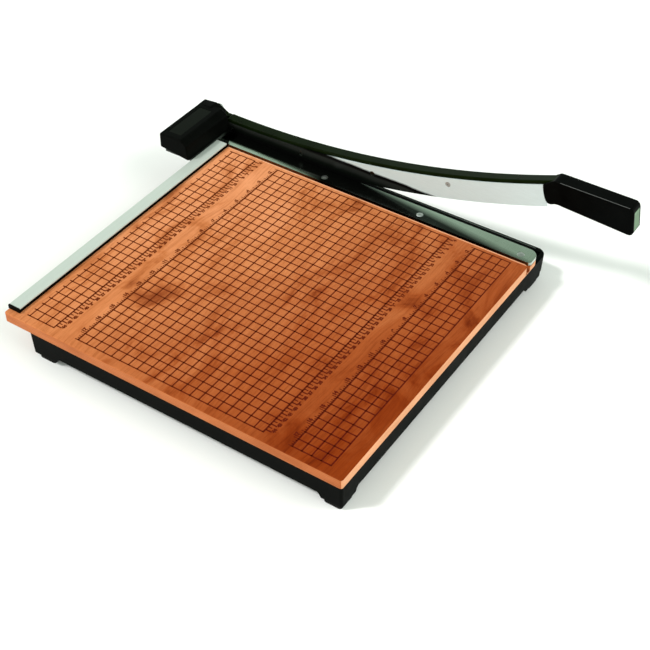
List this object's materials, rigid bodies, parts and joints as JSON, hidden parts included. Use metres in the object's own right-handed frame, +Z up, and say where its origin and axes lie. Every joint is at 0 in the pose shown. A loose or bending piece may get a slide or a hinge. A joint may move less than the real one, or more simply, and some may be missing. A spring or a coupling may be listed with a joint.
{
  "type": "guillotine paper cutter",
  "caption": "Guillotine paper cutter: square wooden table on a black footed frame, steel bed strip, rear rule fence, and a curved pivoting blade arm with a black grip.",
  "frame": {"origin": "on the surface the feet stand on, under the middle of the whole object's box", "axes": "+X across the table towards the blade, +Y along the cut from the handle to the pivot, +Z up"},
  "size_m": [0.4826, 0.6479, 0.1669],
  "materials": {
    "oiled_wood": "warm brown laminated board, oiled satin",
    "black_plastic": "black moulded, fine satin texture",
    "black_paint": "black enamel, semi-gloss",
    "polished_steel": "ground and polished",
    "zinc_steel": "zinc plated",
    "aluminium": "satin anodised",
    "rubber": "matt black",
    "bronze": "sintered bronze bushing",
    "grey_green_plastic": "matt grey green insert"
  },
  "bodies": {
    "base": {"base_frame": "black_plastic", "bed_screw_1": "zinc_steel", "bed_screw_2": "zinc_steel", "bed_screw_3": "zinc_steel", "bed_strip": "polished_steel", "bracket_screw_1": "zinc_steel", "bracket_screw_2": "zinc_steel", "bracket_screw_3": "zinc_steel", "cover_screw_1": "zinc_steel", "cover_screw_2": "zinc_steel", "fence_base": "black_plastic", "fence_cap_left": "black_plastic", "fence_cap_right": "black_plastic", "fence_rule": "aluminium", "fence_screw_1": "zinc_steel", "fence_screw_2": "zinc_steel", "fence_screw_3": "zinc_steel", "foot_front_left": "rubber", "foot_front_right": "rubber", "foot_rear_left": "rubber", "foot_rear_right": "rubber", "frame_screw_1": "zinc_steel", "frame_screw_2": "zinc_steel", "frame_screw_3": "zinc_steel", "frame_screw_4": "zinc_steel", "frame_screw_5": "zinc_steel", "housing_cover": "black_plastic", "label_plate": "black_paint", "pivot_bracket": "zinc_steel", "pivot_bushing_1": "bronze", "pivot_bushing_2": "bronze", "torsion_spring": "polished_steel", "wave_washer": "zinc_steel", "wood_table": "oiled_wood"},
    "arm": {"blade_arm": "black_paint", "moving_blade": "polished_steel", "handle_grip": "black_plastic", "handle_plug": "grey_green_plastic", "pivot_shaft": "polished_steel", "shaft_clip": "zinc_steel", "spring_collar": "zinc_steel", "hub_washer": "zinc_steel", "pivot_nut": "zinc_steel", "blade_screw_1": "zinc_steel", "blade_screw_2": "zinc_steel", "blade_screw_3": "zinc_steel", "blade_screw_4": "zinc_steel", "handle_screw_1": "zinc_steel", "handle_screw_2": "zinc_steel"}
  },
  "joints": [
    {"name": "arm_pivot", "type": "hinge", "parent": "base", "child": "arm", "pos_m": [0.2286, 0.30734, 0.07036], "axis": [-1, 0, 0], "range_deg": [-9.2, 60]}
  ]
}
